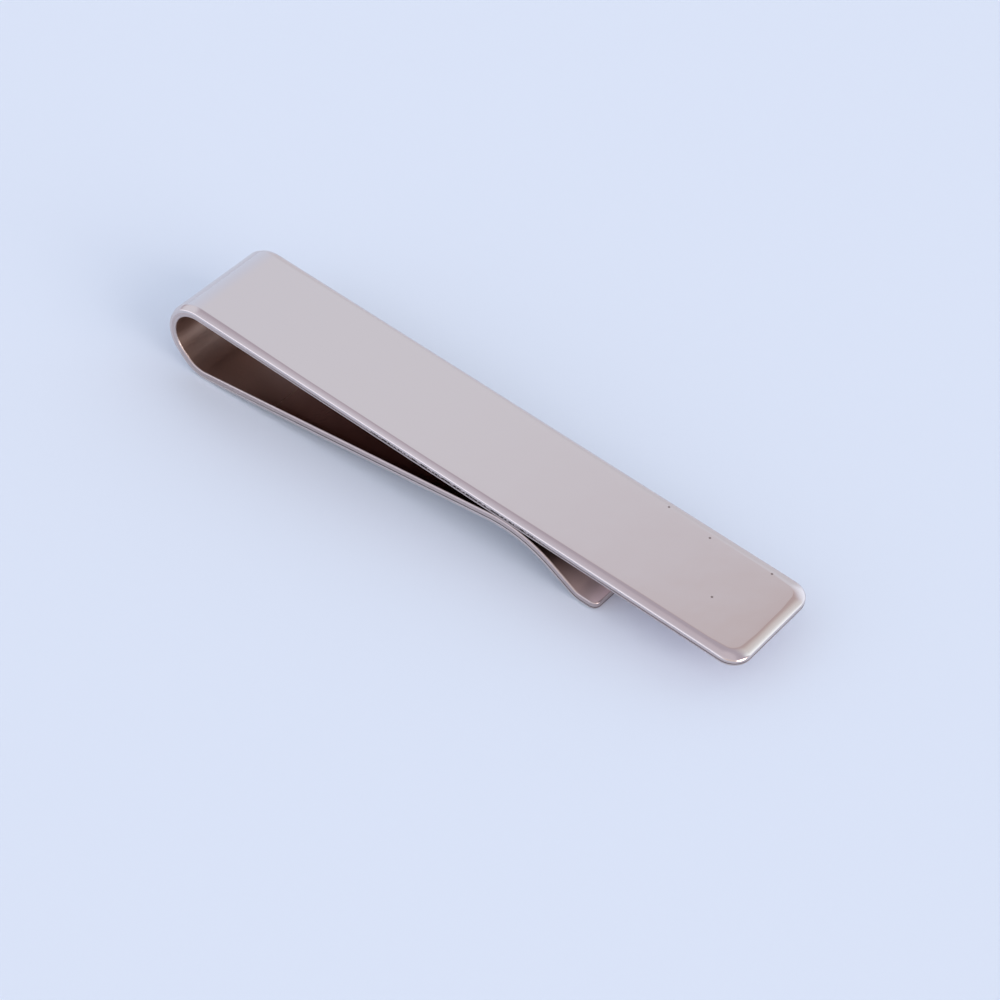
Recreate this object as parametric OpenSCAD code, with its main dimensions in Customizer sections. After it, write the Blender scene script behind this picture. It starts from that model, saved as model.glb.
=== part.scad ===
// Slide-on tie clip, bent from one strip of sheet metal.
// All lengths are millimetres. The clip lies as it rests on a table: the table is z = 0,
// the bar runs along +X, the strip's width is along Y, and the fold is at the -X end.
// The strip is followed from the bar, round the fold and along the tongue to its lip.
// Each node is one stretch of that strip, so neighbours meet face to face.

/* [Strip] */
// width of the strip, the same all the way along
strip_w = 9.5; // [8:0.1:11]
// thickness of the sheet
sheet_t = 0.85; // [0.75:0.05:1]
// radius rolled onto the strip's outer edges, less than the sheet
edge_r = 0.4; // [0.3:0.05:0.55]

/* [Bar] */
// overall length, from the back of the fold to the bar's free end
clip_len = 54.7; // [50:0.1:60]
// plan radius of the bar's two free corners
bar_corner_r = 1.6; // [1:0.1:3]

/* [Fold] */
// radius inside the upper bend, where the strip leaves the bar
fold_r = 2.3; // [2:0.05:2.5]
// angle the strip has turned by the time it runs straight down the web
fold_turn = 140; // [130:1:145]
// straight slanted length between the upper bend and the heel
web_len = 0.75; // [0.5:0.05:1.5]
// radius inside the heel, the bend that stands on the table
heel_r = 2.15; // [1.6:0.05:2.6]

/* [Tongue] */
// straight length of the spring arm, from the heel to the crest
arm_len = 28.4; // [25:0.1:30]
// share of the arm before the line about which the rest of it flexes
arm_root_share = 0.15; // [0.1:0.01:0.3]
// radius over the top of the crest that grips the cloth
crest_r = 10; // [7:0.1:12]
// angle the strip turns down through at the crest
crest_turn = 37; // [36:1:40]
// straight length of the ramp that leads the cloth in
ramp_len = 2.4; // [2:0.1:4]
// radius on the upper side of the bend between ramp and lip
lip_r = 1.5; // [1:0.05:2]
// angle the strip turns back up through at the lip
lip_turn = 28; // [20:1:30]
// flat length of the lip beyond that bend
lip_len = 1.4; // [1.2:0.1:2]
// plan radius of the lip's two corners
lip_corner_r = 0.6; // [0.6:0.1:1.2]
// clearance left between the crest and the back of the bar
pinch_gap = 0.03; // [0.02:0.01:0.1]

/* [Hidden] */
plating = [0.79, 0.75, 0.76];

bend_fn = 180;
edge_fn = 48;
half_w = strip_w / 2;

// The path runs along the strip's inner surface, in the plane of the bar: x along the bar
// and z up, with z = 0 on top of the bar. A heading of 180 runs towards the fold.
bend_x = fold_r + sheet_t;
fold_c = [bend_x, -sheet_t - fold_r];
half_turn = 90;
back_turn = fold_turn - half_turn;
web_head = 180 + fold_turn;
web_start = fold_c + fold_r * [-sin(fold_turn), cos(fold_turn)];
web_end = web_start + web_len * [cos(web_head), sin(web_head)];
heel_c = web_end + heel_r * [-sin(web_head), cos(web_head)];

// The arm's slope is the one that brings the crest up to the back of the bar.
crest_top = -sheet_t - pinch_gap;
rise_span = norm([arm_len, heel_r + crest_r]);
arm_rise = atan2(heel_r + crest_r, arm_len) + asin((crest_top - crest_r - heel_c[1]) / rise_span);
heel_turn = 180 + arm_rise - fold_turn;
arm_start = heel_c + heel_r * [sin(arm_rise), -cos(arm_rise)];
root_len = arm_len * arm_root_share;
arm_flex = arm_start + root_len * [cos(arm_rise), sin(arm_rise)];
arm_end = arm_start + arm_len * [cos(arm_rise), sin(arm_rise)];
crest_c = arm_end + crest_r * [sin(arm_rise), -cos(arm_rise)];
ramp_head = arm_rise - crest_turn;
ramp_start = crest_c + crest_r * [-sin(ramp_head), cos(ramp_head)];
ramp_end = ramp_start + ramp_len * [cos(ramp_head), sin(ramp_head)];
lip_head = ramp_head + lip_turn;
lip_c = ramp_end + lip_r * [-sin(ramp_head), cos(ramp_head)];
lip_start = lip_c + lip_r * [sin(lip_head), -cos(lip_head)];
lip_end = lip_start + lip_len * [cos(lip_head), sin(lip_head)];

// The clip stands on its heel and on the rolled edge at the tip of its lip.
tip_c = lip_end - edge_r * [cos(lip_head), sin(lip_head)]
    + (sheet_t - edge_r) * [sin(lip_head), -cos(lip_head)];
stand = tip_c - heel_c;
tilt = atan2(stand[1], stand[0]) + asin((heel_r + sheet_t - edge_r) / norm(stand));
lift = heel_r + sheet_t - (heel_c[1] * cos(tilt) - heel_c[0] * sin(tilt));
x_back = fold_c[0] * cos(tilt) + fold_c[1] * sin(tilt) - fold_r - sheet_t;
x_free = (clip_len - edge_r) * cos(tilt) - edge_r * sin(tilt) + edge_r;
x_mid = (x_back + x_free) / 2;

// cross-section: x is the distance from the inner surface, y is across the strip
module section() {
    union() {
        translate([0, -half_w])
            square([sheet_t - edge_r, strip_w]);
        translate([0, edge_r - half_w])
            square([sheet_t, strip_w - 2 * edge_r]);
        translate([sheet_t - edge_r, half_w - edge_r])
            circle(r = edge_r, $fn = edge_fn);
        translate([sheet_t - edge_r, edge_r - half_w])
            circle(r = edge_r, $fn = edge_fn);
    }
}

// one edge of the strip, reach wide: x is out to the edge, y is down from the inner surface
module edge_profile(reach) {
    union() {
        translate([0, edge_r - sheet_t])
            square([reach, sheet_t - edge_r]);
        translate([0, -sheet_t])
            square([reach - edge_r, sheet_t]);
        intersection() {
            translate([0, -sheet_t])
                square([reach, sheet_t]);
            translate([reach - edge_r, edge_r - sheet_t])
                circle(r = edge_r, $fn = edge_fn);
        }
    }
}

// The local pieces below run from x = 0 along +X, with the inner surface on z = 0.
module straight(len) {
    rotate([90, 0, 90])
        linear_extrude(len)
            rotate(-90)
                section();
}

// bend towards the inner side, with its centre above the path
module bend_in(r, turn) {
    translate([0, 0, r])
        rotate([90, 90, 0])
            rotate_extrude(angle = turn, $fn = bend_fn)
                translate([r, 0])
                    section();
}

// bend towards the outer side, with its centre below the path
module bend_out(r, turn) {
    translate([0, 0, -r])
        rotate([-90, -90, 0])
            rotate_extrude(angle = turn, $fn = bend_fn)
                translate([r, 0])
                    mirror([1, 0])
                        section();
}

// straight strip that stops in a free end with rounded plan corners
module free_end(len, corner_r) {
    flat_w = strip_w - 2 * corner_r;
    union() {
        straight(len - corner_r);
        translate([len - corner_r, flat_w / 2, 0])
            rotate([90, 0, 0])
                linear_extrude(flat_w)
                    edge_profile(corner_r);
        translate([len - corner_r, flat_w / 2, 0])
            rotate_extrude(angle = 90, $fn = edge_fn)
                edge_profile(corner_r);
        translate([len - corner_r, -flat_w / 2, 0])
            rotate([0, 0, -90])
                rotate_extrude(angle = 90, $fn = edge_fn)
                    edge_profile(corner_r);
    }
}

// puts a local piece at a point of the path, running along a heading
module at_path(p, head) {
    translate([p[0], 0, p[1]])
        rotate([0, -head, 0])
            children();
}

// turns the bar's plane to the attitude it rests in
module at_rest() {
    translate([-x_mid, 0, lift])
        rotate([0, tilt, 0])
            children();
}

module face_bar() {
    color(plating)
        at_rest()
            translate([bend_x, 0, -sheet_t])
                rotate([180, 0, 0])
                    free_end(clip_len - bend_x, bar_corner_r);
}

module upper_bend() {
    color(plating)
        at_rest()
            at_path([bend_x, -sheet_t], 180)
                bend_in(fold_r, half_turn);
}

module fold_back() {
    color(plating)
        at_rest()
            at_path(fold_c - [fold_r, 0], 180 + half_turn)
                bend_in(fold_r, back_turn);
}

module fold_web() {
    color(plating)
        at_rest()
            at_path(web_start, web_head)
                straight(web_len);
}

module heel_bend() {
    color(plating)
        at_rest()
            at_path(web_end, web_head)
                bend_in(heel_r, heel_turn);
}

module arm_root() {
    color(plating)
        at_rest()
            at_path(arm_start, arm_rise)
                straight(root_len);
}

module spring_arm() {
    color(plating)
        at_rest()
            at_path(arm_flex, arm_rise)
                straight(arm_len - root_len);
}

module grip_crest() {
    color(plating)
        at_rest()
            at_path(arm_end, arm_rise)
                bend_out(crest_r, crest_turn);
}

module entry_ramp() {
    color(plating)
        at_rest()
            at_path(ramp_start, ramp_head)
                straight(ramp_len);
}

module lip_bend() {
    color(plating)
        at_rest()
            at_path(ramp_end, ramp_head)
                bend_in(lip_r, lip_turn);
}

module entry_lip() {
    color(plating)
        at_rest()
            at_path(lip_start, lip_head)
                free_end(lip_len, lip_corner_r);
}

face_bar();
upper_bend();
fold_back();
fold_web();
heel_bend();
arm_root();
spring_arm();
grip_crest();
entry_ramp();
lip_bend();
entry_lip();
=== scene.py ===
from math import asin, atan2, copysign, cos, degrees, hypot, pi, radians, sin

import bmesh
import bpy
from mathutils import Matrix, Vector


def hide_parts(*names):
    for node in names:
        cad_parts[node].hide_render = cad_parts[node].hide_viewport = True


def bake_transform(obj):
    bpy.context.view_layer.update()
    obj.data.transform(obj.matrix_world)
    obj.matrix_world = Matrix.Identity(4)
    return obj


# A slide-on tie clip: one strip of sheet metal, dressed as the bar with its fold and as the
# tongue with its heel. Lengths are mm and angles degrees until the strip is set down as it rests.
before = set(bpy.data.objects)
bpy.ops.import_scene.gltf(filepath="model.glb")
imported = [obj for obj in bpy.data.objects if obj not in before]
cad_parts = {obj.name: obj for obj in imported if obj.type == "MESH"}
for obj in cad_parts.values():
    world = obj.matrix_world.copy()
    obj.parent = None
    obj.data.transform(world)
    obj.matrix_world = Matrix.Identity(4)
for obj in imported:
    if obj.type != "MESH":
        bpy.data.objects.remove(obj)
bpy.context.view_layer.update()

MM = 0.001

# Sizes of the strip, the same as the CAD's
STRIP_W = 9.5
SHEET_T = 0.85
EDGE_R = 0.4
CLIP_LEN = 54.7
BAR_CORNER_R = 1.6
FOLD_R = 2.3
FOLD_TURN = 140
WEB_LEN = 0.75
HEEL_R = 2.15
ARM_LEN = 28.4
ARM_ROOT_SHARE = 0.15
CREST_R = 10
CREST_TURN = 37
RAMP_LEN = 2.4
LIP_R = 1.5
LIP_TURN = 28
LIP_LEN = 1.4
LIP_CORNER_R = 0.6
PINCH_GAP = 0.03


def along(point, heading, distance):
    """The point that lies a distance further on in the strip's side view."""
    a = radians(heading)
    return (point[0] + distance * cos(a), point[1] + distance * sin(a))


def bend(radius, turn):
    """A bend's length along the inner surface, and its turn."""
    return (radius * radians(abs(turn)), turn)


# Side view of the strip's inner surface, in the bar's plane: x along the bar, z up from its face
BAR_LEN = CLIP_LEN - FOLD_R - SHEET_T
fold_c = (FOLD_R + SHEET_T, -SHEET_T - FOLD_R)
web_head = 180 + FOLD_TURN
web_end = along(along(fold_c, web_head - 90, FOLD_R), web_head, WEB_LEN)
heel_c = along(web_end, web_head + 90, HEEL_R)
crest_z = -SHEET_T - PINCH_GAP - CREST_R
arm_rise = degrees(
    atan2(HEEL_R + CREST_R, ARM_LEN)
    + asin((crest_z - heel_c[1]) / hypot(ARM_LEN, HEEL_R + CREST_R))
)

# The whole strip from the bar's free end to the lip, as lengths of its inner surface and turns
STRETCHES = (
    (BAR_LEN, 0),
    bend(FOLD_R, FOLD_TURN),
    (WEB_LEN, 0),
    bend(HEEL_R, 180 + arm_rise - FOLD_TURN),
    (ARM_LEN, 0),
    bend(CREST_R, -CREST_TURN),
    (RAMP_LEN, 0),
    bend(LIP_R, LIP_TURN),
    (LIP_LEN, 0),
)
ENDS = [sum(length for length, _ in STRETCHES[: i + 1]) for i in range(len(STRETCHES))]
FOLD_END, HEEL_END, CREST_END, LIP_BEND_END, STRIP_LEN = (ENDS[i] for i in (1, 3, 5, 7, 8))


def strip_at(distance):
    """Where the inner surface lies, and its heading, a distance from the bar's free end."""
    point, heading = (CLIP_LEN, -SHEET_T), 180
    for length, turn in STRETCHES:
        part = min(distance, length)
        if turn:
            radius = length / radians(turn)
            centre = along(point, heading + 90, radius)
            heading += turn * part / length
            point = along(centre, heading - 90, radius)
        else:
            point = along(point, heading, part)
        distance -= part
        if distance <= 0:
            break
    return point, heading


# The clip stands on its heel and on the tip of its lip.
lip_end, lip_head = strip_at(STRIP_LEN)
tip_c = along(along(lip_end, lip_head, -EDGE_R), lip_head - 90, SHEET_T - EDGE_R)
stand = (tip_c[0] - heel_c[0], tip_c[1] - heel_c[1])
tilt = atan2(stand[1], stand[0]) + asin((HEEL_R + SHEET_T - EDGE_R) / hypot(*stand))
lift = HEEL_R + SHEET_T - (heel_c[1] * cos(tilt) - heel_c[0] * sin(tilt))
x_back = fold_c[0] * cos(tilt) + fold_c[1] * sin(tilt) - FOLD_R - SHEET_T
x_free = (CLIP_LEN - EDGE_R) * cos(tilt) - EDGE_R * sin(tilt) + EDGE_R
AT_REST = (
    Matrix.Scale(MM, 4)
    @ Matrix.Translation((-(x_back + x_free) / 2, 0, lift))
    @ Matrix.Rotation(tilt, 4, "Y")
)


# Colours and nodes
def linear(code):
    """An sRGB hex colour as linear RGBA."""
    parts = [int(code[i : i + 2], 16) / 255 for i in (1, 3, 5)]
    return tuple(
        p / 12.92 if p <= 0.04045 else ((p + 0.055) / 1.055) ** 2.4 for p in parts
    ) + (1.0,)


def add(tree, kind, settings=None, stops=(), **inputs):
    """Adds a node: its settings, a ramp's rows of where and colour, and its inputs.

    An input is given by its name, or as _0 by its number, and is a value or a socket to link.
    """
    made = tree.nodes.new(kind)
    for name, value in (settings or {}).items():
        setattr(made, name, value)
    for _ in stops[2:]:
        made.color_ramp.elements.new(1.0)
    for row, (where, colour) in enumerate(stops):
        made.color_ramp.elements[row].position = where
        made.color_ramp.elements[row].color = linear(colour)
    for name, value in inputs.items():
        key = int(name[1:]) if name[0] == "_" else name.replace("_", " ")
        if isinstance(value, bpy.types.NodeSocket):
            tree.links.new(value, made.inputs[key])
        else:
            made.inputs[key].default_value = value
    return made


def metal(name, colour, roughness, grain, relief):
    """A metal with a fine uneven surface: the size of its bumps and their height, mm."""
    material = bpy.data.materials.new(name)
    material.use_nodes = True
    tree = material.node_tree
    tree.nodes.clear()
    shader = add(
        tree, "ShaderNodeBsdfPrincipled", Base_Color=linear(colour), Metallic=1.0,
        Roughness=roughness,
    )
    add(tree, "ShaderNodeOutputMaterial", Surface=shader.outputs[0])
    place = add(tree, "ShaderNodeTexCoord").outputs["Object"]
    noise = add(tree, "ShaderNodeTexNoise", Vector=place, Scale=1 / (grain * MM), Detail=2.0)
    bump = add(
        tree, "ShaderNodeBump", Height=noise.outputs[0], Strength=1.0, Distance=relief * MM
    )
    tree.links.new(bump.outputs[0], shader.inputs["Normal"])
    return material, tree, shader, place, noise.outputs[0]


ROSE = "#D9CECB"
# small pits in the plating, seen as dark dots: where they lie, and the radius of their middles
PIT_TONE = "#8A7B78"
PITS = ((22.27, -0.84, 3.56), (24.18, 3.92, 3.43), (14.78, 4.07, 4.08), (18.81, 3.66, 3.8))
PIT_R = 0.06


def polished_plating():
    """Buffed brass under a pale rose plating: a clear mirror, with a few pits.

    The buffing wheel leaves a ripple of about 3 mm, too shallow to see but in what it mirrors.
    """
    material, tree, shader, place, _ = metal(
        "polished rose plating", ROSE, 0.12, grain=2.9, relief=0.01
    )
    nearest = 1.0
    for pit in PITS:
        away = add(
            tree, "ShaderNodeVectorMath", {"operation": "DISTANCE"}, _0=place,
            _1=[size * MM for size in pit],
        )
        nearest = add(
            tree, "ShaderNodeMath", {"operation": "MINIMUM"}, _0=away.outputs["Value"],
            _1=nearest,
        ).outputs[0]
    clear = add(
        tree, "ShaderNodeMapRange", Value=nearest, From_Min=PIT_R * MM, From_Max=2 * PIT_R * MM
    )
    tone = add(
        tree, "ShaderNodeMix", {"data_type": "RGBA"}, Factor=clear.outputs[0],
        _6=linear(PIT_TONE), _7=linear(ROSE),
    )
    tree.links.new(tone.outputs["Result"], shader.inputs["Base Color"])
    return material


SHEARED = "#C6B8B5"


def sheared_edge():
    """The tongue's cut edge, rubbed satin by the shear.

    Its scratches, a few hundredths of a millimetre apart, are too fine to show, so they are
    drawn a quarter of a millimetre apart.
    """
    return metal("satin sheared edge", SHEARED, 0.36, grain=0.25, relief=0.012)[0]


def burnished_corner():
    """The inner corner of the cut edge, rubbed round and bright, so it glints in short lengths."""
    return metal("burnished inner corner", "#C9BDBA", 0.33, grain=0.4, relief=0.012)[0]


# painted shade: the dark line on the cut edge, as the bar's tear groove and as the shadow that the
# tongue's edge mirrors
TEAR_AND_SHADE_TONE = "#5E5250"
TEAR_AND_SHADE_FADES = (-24, -12)  # x between which the painted dark line dies out towards the fold


def tear_and_shade_line():
    """The cut edge's dark line of painted shade: the bar's tear groove, and the shadow the tongue
    mirrors.
    """
    material, tree, shader, place, _ = metal(
        "tear and shade line", TEAR_AND_SHADE_TONE, 0.5, grain=0.2, relief=0.02
    )
    length = add(tree, "ShaderNodeSeparateXYZ", Vector=place)
    open_part = add(
        tree, "ShaderNodeMapRange", Value=length.outputs[0], From_Min=TEAR_AND_SHADE_FADES[0] * MM,
        From_Max=TEAR_AND_SHADE_FADES[1] * MM,
    )
    tone = add(
        tree, "ShaderNodeMix", {"data_type": "RGBA"}, Factor=open_part.outputs[0],
        _6=linear(SHEARED), _7=linear(TEAR_AND_SHADE_TONE),
    )
    tree.links.new(tone.outputs["Result"], shader.inputs["Base Color"])
    return material


TORN, PITTED = "#C9BBB8", "#33292A"
TORN_SPOT = (1.5, -4.75, 5.1)  # middle of the worst of the tearing, on the bar's near edge
TORN_REACH = (7, 15)  # distances from it between which the pits die out
PIT_LEVELS = (0.5, 0.56)  # grain below the first is a dark pit, and above the second is clear


def torn_edge():
    """The torn part of the bar's cut edge: grainy metal, with dark pits where it tore most.

    Both the grain and the pits are as large as real ones, 0.15 mm.
    """
    material, tree, shader, place, grain = metal(
        "torn edge", TORN, 0.4, grain=0.15, relief=0.025
    )
    away = add(
        tree, "ShaderNodeVectorMath", {"operation": "DISTANCE"}, _0=place,
        _1=[size * MM for size in TORN_SPOT],
    )
    sound = add(
        tree, "ShaderNodeMapRange", Value=away.outputs["Value"], From_Min=TORN_REACH[0] * MM,
        From_Max=TORN_REACH[1] * MM,
    )
    depth = add(tree, "ShaderNodeMath", {"operation": "ADD"}, _0=grain, _1=sound.outputs[0])
    raised = add(
        tree, "ShaderNodeMapRange", Value=depth.outputs[0], From_Min=PIT_LEVELS[0],
        From_Max=PIT_LEVELS[1],
    )
    tone = add(
        tree, "ShaderNodeMix", {"data_type": "RGBA"}, Factor=raised.outputs[0],
        _6=linear(PITTED), _7=linear(TORN),
    )
    tree.links.new(tone.outputs["Result"], shader.inputs["Base Color"])
    return material


# the inside's colour along x: darker in the fold and gap, and painted light towards the lip
INSIDE_TONES_AND_PAINTED_LIGHT = (
    (-20, "#A0857A"),
    (-14, "#866A62"),
    (8, "#84675F"),
    (10.3, "#806C66"),
    (12.8, "#B8A49F"),
    (15, "#EADCDE"),
)
FOLD_ROUGH, GAP_ROUGH, LIP_ROUGHER = 0.42, 0.18, 0.67
SMOOTHED = (-20, -14)  # x between which the fold's satin gives way to the smoother gap
RUBBED = (8, 15)  # x between which it turns matt towards the lip


def satin_inside():
    """The inside, plated but not buffed: satin in the fold, smoother in the gap, matt on the lip.

    The grain rolled into the sheet is too fine to show, so it is drawn a fifth of a millimetre
    wide.
    """
    tones_from, fold_tone = INSIDE_TONES_AND_PAINTED_LIGHT[0]
    tones_to = INSIDE_TONES_AND_PAINTED_LIGHT[-1][0]
    material, tree, shader, place, _ = metal(
        "unbuffed inside", fold_tone, FOLD_ROUGH, grain=0.22, relief=0.006
    )
    length = add(tree, "ShaderNodeSeparateXYZ", Vector=place).outputs[0]
    share = add(
        tree, "ShaderNodeMapRange", Value=length, From_Min=tones_from * MM,
        From_Max=tones_to * MM,
    )
    # its colour along x, with the light on the lip painted in
    tone = add(
        tree, "ShaderNodeValToRGB", Fac=share.outputs[0],
        stops=[((x - tones_from) / (tones_to - tones_from), code) for x, code in INSIDE_TONES_AND_PAINTED_LIGHT],
    )
    bent = add(
        tree, "ShaderNodeMapRange", Value=length, From_Min=SMOOTHED[0] * MM,
        From_Max=SMOOTHED[1] * MM, To_Min=FOLD_ROUGH, To_Max=GAP_ROUGH,
    )
    rubbed = add(
        tree, "ShaderNodeMapRange", Value=length, From_Min=RUBBED[0] * MM,
        From_Max=RUBBED[1] * MM, To_Min=0.0, To_Max=LIP_ROUGHER,
    )
    matt = add(
        tree, "ShaderNodeMath", {"operation": "ADD"}, _0=bent.outputs[0], _1=rubbed.outputs[0]
    )
    tree.links.new(tone.outputs[0], shader.inputs["Base Color"])
    tree.links.new(matt.outputs[0], shader.inputs["Roughness"])
    return material


# The strip
# the finish of each zone of its section, in the order of a piece's material slots
# the third zone is the dark line of painted shade on the cut edge
OUTER, BURNISHED, TEAR_AND_SHADE, ROUGH_EDGE, INSIDE = range(5)

# the rolled margin from the cut edge up to the face: radius, from slope, to slope, steps
ROLL = ((0.16, 90, 30, 8), (1.74, 30, 12, 8), (0.4, 12, 0, 6))
INNER_ROUND = (0.12, 90, 0, 6)  # the cut edge's inner corner, in the same way
INNER_R = INNER_ROUND[0]
# the dark line on the cut edge is painted shade
# heights on the cut edge over the inner surface: the dark line on each piece, the rough zone's top
BAR_TEAR_AND_SHADE, TONGUE_SHADE_LINE = (0.21, 0.29), (0.41, 0.5)
ROUGH_TOP = 0.42
SPLIT = FOLD_END + 0.1  # where the strip is parted into two pieces, just beyond the fold
# distances along the strip, with the margin's width and drop there
MARGINS = (
    (0, 0.8, 0.34),
    (2, 0.8, 0.34),
    (CLIP_LEN - 46, 0.75, 0.34),
    (CLIP_LEN - 42, 0.68, 0.34),
    (CLIP_LEN - 38, 0.63, 0.34),
    (CLIP_LEN - 34, 0.58, 0.34),
    (CLIP_LEN - 30, 0.54, 0.34),
    (CLIP_LEN - 26, 0.48, 0.34),
    (CLIP_LEN - 14, 0.48, 0.34),
    (CLIP_LEN - 10, 0.54, 0.34),
    (CLIP_LEN - 6, 0.62, 0.34),
    (BAR_LEN, 0.64, 0.34),
    (FOLD_END, 0.4, 0.31),
    (HEEL_END, 0.26, 0.26),
    (HEEL_END + 5, 0.18, 0.18),
    (CREST_END, 0.18, 0.18),
    (LIP_BEND_END, 0.4, 0.3),
    (STRIP_LEN, 0.4, 0.3),
)

CORNER_STEPS = 24  # faces round a free corner
SPARE = 3.0  # extra length of a blank, trimmed off once its margin is rolled
# shares of a corner's radius, where its margin's inner line is drawn in to turn more gently
EASE_CUTS, EASE_REACH, EASE_DEPTH = (1.25, 1.55, 2), 1.7, 0.09
BEND_STEP = 2.5  # degrees between two cuts in a bend
BEND_LEAD = 0.05  # from each end of a bend to the next cut in the flats beside it
LEAST_STEP = 0.02  # between any two cuts
SNAP = 1e-5  # within this a cut takes up the points that are there already
LEEWAY = 1e-4  # slack where two heights are compared
CREASE = 25  # degrees, from which an edge is drawn sharp


def margin_at(distance):
    """The margin's width and drop at a distance along the strip."""
    for (near, *low), (far, *high) in zip(MARGINS, MARGINS[1:]):
        if distance <= far:
            break
    share = (distance - near) / (far - near)
    return [a + (b - a) * share for a, b in zip(low, high)]


def arc(radius, steep, shallow, steps):
    """Steps over a round edge, each as its width and its height."""
    slopes = [radians(steep + (shallow - steep) * i / steps) for i in range(steps + 1)]
    return [
        (radius * (sin(a) - sin(b)), radius * (cos(b) - cos(a)))
        for a, b in zip(slopes, slopes[1:])
    ]


def flat_blank(length, corner_r, width, drop, tear):
    """A flat blank: inner surface on z = 0, free end with round corners at x = 0, margin rolled.

    The dark line of painted shade on its cut edge lies between the two heights of tear.
    """
    bm = bmesh.new()
    bmesh.ops.create_grid(bm, x_segments=1, y_segments=1, size=0.5)
    bmesh.ops.transform(
        bm, verts=bm.verts,
        matrix=Matrix.Translation(((length + SPARE) / 2, 0, INNER_R))
        @ Matrix.Diagonal((length + SPARE, STRIP_W, 1, 1)),
    )
    bmesh.ops.bevel(
        bm, geom=[v for v in bm.verts if v.co.x < length / 2], offset=corner_r,
        offset_type="OFFSET", segments=CORNER_STEPS, profile=0.5, affect="VERTICES",
        material=-1,
    )
    grown = bmesh.ops.extrude_face_region(bm, geom=bm.faces[:])["geom"]
    bmesh.ops.translate(
        bm, vec=(0, 0, SHEET_T - drop - INNER_R),
        verts=[v for v in grown if isinstance(v, bmesh.types.BMVert)],
    )
    bmesh.ops.recalc_face_normals(bm, faces=bm.faces)
    under = min(bm.faces, key=lambda face: face.calc_center_median().z)
    over = max(bm.faces, key=lambda face: face.calc_center_median().z)
    for across, down in arc(*INNER_ROUND):
        bmesh.ops.inset_region(
            bm, faces=[under], thickness=across, depth=down, use_even_offset=True
        )
    roll = [step for part in ROLL for step in arc(*part)]
    wide, high = (sum(sizes) for sizes in zip(*roll))
    for across, up in roll:
        bmesh.ops.inset_region(
            bm, faces=[over], thickness=across * width / wide, depth=up * drop / high,
            use_even_offset=True,
        )
    ease_corners(bm, corner_r, SHEET_T - drop)
    cut(bm, (length, 0, 0), (1, 0, 0), clear_outer=True)
    for height in (*tear, ROUGH_TOP):
        cut(bm, (0, 0, height), (0, 0, 1))
    zone_tops = ((LEEWAY, INSIDE), (tear[0], BURNISHED), (tear[1], TEAR_AND_SHADE), (ROUGH_TOP, ROUGH_EDGE))
    for face in bm.faces:
        height = face.calc_center_median().z
        face.material_index = next((zone for top, zone in zone_tops if height < top), OUTER)
    return bm


def ease_corners(bm, corner_r, edge_top):
    """Draws the margin's inner line further in at the two corners, so that it turns more gently."""
    for place in [share * corner_r for share in EASE_CUTS]:
        cut(bm, (place, 0, 0), (1, 0, 0))
        for side in (1, -1):
            cut(bm, (0, side * (STRIP_W / 2 - place), 0), (0, 1, 0))
    for vert in bm.verts:
        share = (vert.co.z - edge_top) / (SHEET_T - edge_top)
        aside = (vert.co.x + abs(vert.co.y) - STRIP_W / 2) / (EASE_REACH * corner_r)
        if share > 0 and abs(aside) < 1:
            inward = EASE_DEPTH * corner_r * share * (1 - aside**2) ** 2
            vert.co.x += inward
            vert.co.y -= copysign(inward, vert.co.y)


def cut(bm, point, normal, **clear):
    """Cuts the mesh through with a plane."""
    bmesh.ops.bisect_plane(
        bm, geom=bm.verts[:] + bm.edges[:] + bm.faces[:], dist=SNAP,
        plane_co=point, plane_no=normal, **clear,
    )


def cut_across(bm, first, last):
    """Cuts the flat strip across wherever it bends or its margin changes, so that it can follow."""
    places = [distance for distance, *_ in MARGINS]
    start = 0
    for length, turn in STRETCHES:
        if turn:
            steps = round(abs(turn) / BEND_STEP)
            places += [start + length * i / steps for i in range(steps + 1)]
            places += [start - BEND_LEAD, start + length + BEND_LEAD]
        start += length
    done = first
    for place in sorted(places):
        if done + LEAST_STEP < place < last - LEAST_STEP:
            cut(bm, (place, 0, 0), (1, 0, 0))
            done = place


def formed(bm, width, drop):
    """Narrows the margin as it runs on, then bends the flat strip on to its path."""
    edge_top = SHEET_T - drop - LEEWAY
    for vert in bm.verts:
        here_width, here_drop = margin_at(vert.co.x)
        if vert.co.z > edge_top:
            inward = (STRIP_W / 2 - abs(vert.co.y)) * here_width / width
            if here_width < width:
                vert.co.y = copysign(STRIP_W / 2 - inward, vert.co.y)
            vert.co.z = SHEET_T - (SHEET_T - vert.co.z) * here_drop / drop
        point, heading = strip_at(vert.co.x)
        x, z = along(point, heading - 90, vert.co.z)
        vert.co = (x, vert.co.y, z)


def finished(bm, name, nodes, edge_finishes):
    """Closes the cut section, sets the strip down as it rests and hides the CAD parts it stands
    for.
    """
    bmesh.ops.edgeloop_fill(bm, edges=[e for e in bm.edges if e.is_boundary])
    bmesh.ops.recalc_face_normals(bm, faces=bm.faces)
    for edge in bm.edges:
        edge.smooth = edge.calc_face_angle(0) < radians(CREASE)
    for face in bm.faces:
        face.smooth = True
    bmesh.ops.transform(bm, matrix=AT_REST, verts=bm.verts)
    mesh = bpy.data.meshes.new(name)
    bm.to_mesh(mesh)
    bm.free()
    for finish in (polished, *edge_finishes, inside):
        mesh.materials.append(finish)
    strip = bpy.data.objects.new(name, mesh)
    bpy.context.scene.collection.objects.link(strip)
    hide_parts(*nodes)
    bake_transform(strip)
    return strip


polished, inside = polished_plating(), satin_inside()
sheared, dark_line = sheared_edge(), tear_and_shade_line()

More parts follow.
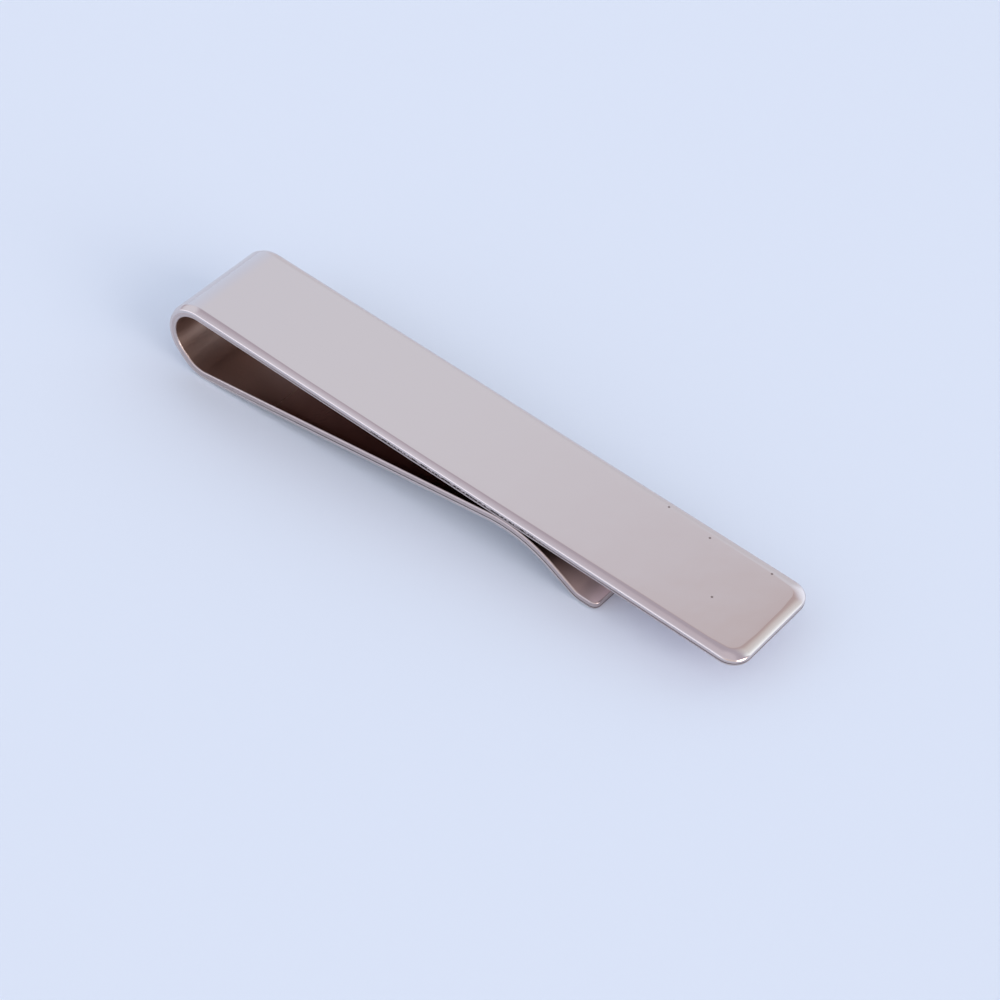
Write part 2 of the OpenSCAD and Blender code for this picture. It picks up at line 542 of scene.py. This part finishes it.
# The bar and the fold, made as one blank that starts at the bar's free end
bar_margin = MARGINS[0][1:]
bar = flat_blank(SPLIT, BAR_CORNER_R, *bar_margin, BAR_TEAR_AND_SHADE)
cut_across(bar, 0, SPLIT)
formed(bar, *bar_margin)
finished(
    bar, "bar_and_fold", ("face_bar", "upper_bend", "fold_back"),
    edge_finishes=(burnished_corner(), dark_line, torn_edge()),
)

# The tongue and the heel, made from the lip backwards and turned end for end
lip_margin = MARGINS[-1][1:]
tongue = flat_blank(STRIP_LEN - SPLIT, LIP_CORNER_R, *lip_margin, TONGUE_SHADE_LINE)
bmesh.ops.rotate(tongue, matrix=Matrix.Rotation(pi, 3, "Z"), verts=tongue.verts)
bmesh.ops.translate(tongue, vec=(STRIP_LEN, 0, 0), verts=tongue.verts)
cut_across(tongue, SPLIT, STRIP_LEN)
formed(tongue, *lip_margin)
flex, arm_head = strip_at(HEEL_END + ARM_LEN * ARM_ROOT_SHARE)
finished(
    tongue, "tongue_and_heel",
    (
        "fold_web", "heel_bend", "arm_root", "spring_arm", "grip_crest", "entry_ramp",
        "lip_bend", "entry_lip",
    ),
    edge_finishes=(sheared, dark_line, sheared),
)


# Table, light and camera
TABLE_REACH = 4  # metres from the clip to each side


def paper_table():
    """Matt white paper in cool light."""
    material = bpy.data.materials.new("matt paper table")
    material.use_nodes = True
    shader = material.node_tree.nodes["Principled BSDF"]
    shader.inputs["Base Color"].default_value = linear("#DCE7F3")
    shader.inputs["Roughness"].default_value = 0.95
    shader.inputs["Specular IOR Level"].default_value = 0.1
    return material


bm = bmesh.new()
bmesh.ops.create_grid(bm, x_segments=1, y_segments=1, size=TABLE_REACH)
mesh = bpy.data.meshes.new("table")
bm.to_mesh(mesh)
bm.free()
mesh.materials.append(paper_table())
table = bpy.data.objects.new("table", mesh)
bpy.context.scene.collection.objects.link(table)

# The room that the polished strip mirrors. +X is beyond the bar's free end, +Y the far side.
# The far half, by how far a direction leans up towards the free end: a pale wall beyond the
# fold, a dim stretch, a bright one, and the duller wall beyond the free end.
ROOM_LEAN = (0.884, -0.173, 0.434)
ROOM = (
    (-0.84, "#99A3B3"),
    (-0.5, "#9BA2AF"),
    (-0.09, "#9FA3AB"),
    (-0.01, "#9A9BA3"),
    (0.02, "#959296"),
    (0.06, "#90898B"),
    (0.12, "#877E80"),
    (0.3, "#898081"),
    (0.4, "#9B9A9B"),
    (0.52, "#A3A6A8"),
    (0.6, "#BEC9CE"),
    (0.7, "#C6D2D8"),
    (0.76, "#AEB1B6"),
    (1.0, "#A1A2A7"),
)
# The near half, behind the camera, by degrees of height: bright near the table, dim overhead.
FRONT = (
    (0, "#E2E6F4"),
    (27, "#BEC1CD"),
    (46, "#A6A9B3"),
    (66, "#9899A3"),
    (84, "#8D8B95"),
    (96, "#83808A"),
)
HALVES_MEET = (0.3, 0.5)  # how far towards +Y the one gives way to the other
ROOM_STRENGTH = 2.4
# Soft patches of light: the way to the middle, the degrees from it to where the patch starts to
# fade and to where it ends, its colour and its strength.
PATCHES = (
    ((0.259, 0.951, 0.17), 12, 40, "#E3EFFF", 1.5),  # wide window low on the far side
    ((-0.413, 0.886, 0.208), 8, 26, "#E0E3EE", 1.0),  # lit wall beside it, towards the fold
    ((0.6, -0.75, 0.28), 15, 55, "#FBF0F1", 0.85),  # lit wall on the near right
    ((0.93, -0.1, 0.35), 8, 26, "#FFF4EE", 5.5),  # small bright window beyond the free end
    ((0.05, -0.1, 0.99), 14, 22, "#DFDBE7", 1.0),  # ceiling straight above
    ((-0.85, 0, 0.53), 14, 32, "#EEF2FF", 1.0),  # window beyond the fold
)


def studio():
    """The room's light: its far and near halves, and the patches laid over them in turn."""
    world = bpy.data.worlds.new("studio")
    world.use_nodes = True
    tree = world.node_tree
    tree.nodes.clear()
    towards = add(tree, "ShaderNodeTexCoord").outputs["Generated"]
    lean = add(
        tree, "ShaderNodeVectorMath", {"operation": "DOT_PRODUCT"}, _0=towards, _1=ROOM_LEAN
    )
    spread = add(
        tree, "ShaderNodeMapRange", Value=lean.outputs["Value"], From_Min=-1.0, From_Max=1.0
    )
    room = add(
        tree, "ShaderNodeValToRGB", Fac=spread.outputs[0],
        stops=[((where + 1) / 2, code) for where, code in ROOM],
    )
    sides = add(tree, "ShaderNodeSeparateXYZ", Vector=towards)
    nearer = add(
        tree, "ShaderNodeMath", {"operation": "MULTIPLY"}, _0=sides.outputs[1], _1=-1.0
    )
    height = add(
        tree, "ShaderNodeMath", {"operation": "ARCTAN2"}, _0=sides.outputs[2],
        _1=nearer.outputs[0],
    )
    half_circle = add(
        tree, "ShaderNodeMath", {"operation": "DIVIDE"}, _0=height.outputs[0], _1=pi
    )
    front = add(
        tree, "ShaderNodeValToRGB", Fac=half_circle.outputs[0],
        stops=[(where / 180, code) for where, code in FRONT],
    )
    behind = add(
        tree, "ShaderNodeMapRange", Value=sides.outputs[1], From_Min=HALVES_MEET[0],
        From_Max=HALVES_MEET[1],
    )
    whole = add(
        tree, "ShaderNodeMix", {"data_type": "RGBA"}, Factor=behind.outputs[0],
        _6=front.outputs[0], _7=room.outputs[0],
    )
    light = add(
        tree, "ShaderNodeBackground", Strength=ROOM_STRENGTH, Color=whole.outputs["Result"]
    )
    for way, full, none, code, strength in PATCHES:
        near = add(
            tree, "ShaderNodeVectorMath", {"operation": "DOT_PRODUCT"}, _0=towards, _1=way
        )
        share = add(
            tree, "ShaderNodeMapRange", {"interpolation_type": "SMOOTHSTEP"},
            Value=near.outputs["Value"], From_Min=cos(radians(none)),
            From_Max=cos(radians(full)),
        )
        patch = add(tree, "ShaderNodeBackground", Strength=strength, Color=linear(code))
        light = add(
            tree, "ShaderNodeMixShader", _0=share.outputs[0], _1=light.outputs[0],
            _2=patch.outputs[0],
        )
    add(tree, "ShaderNodeOutputWorld", Surface=light.outputs[0])
    return world


bpy.context.scene.world = studio()

# Where the camera stood and its lens, worked out from the bar's edges and the fold
CAMERA = Matrix((
    (0.778299, -0.454813, 0.432891, 0.097109),
    (0.627443, 0.53727, -0.56361, -0.1235),
    (0.023758, 0.710272, 0.703526, 0.154015),
    (0, 0, 0, 1),
))
lens = bpy.data.cameras.new("photo view")
lens.sensor_fit = "HORIZONTAL"
lens.sensor_width = 36
lens.lens = 104.523
camera = bpy.data.objects.new("photo view", lens)
camera.matrix_world = CAMERA
bpy.context.scene.collection.objects.link(camera)
bpy.context.scene.camera = camera
bpy.context.scene.view_settings.view_transform = "Standard"
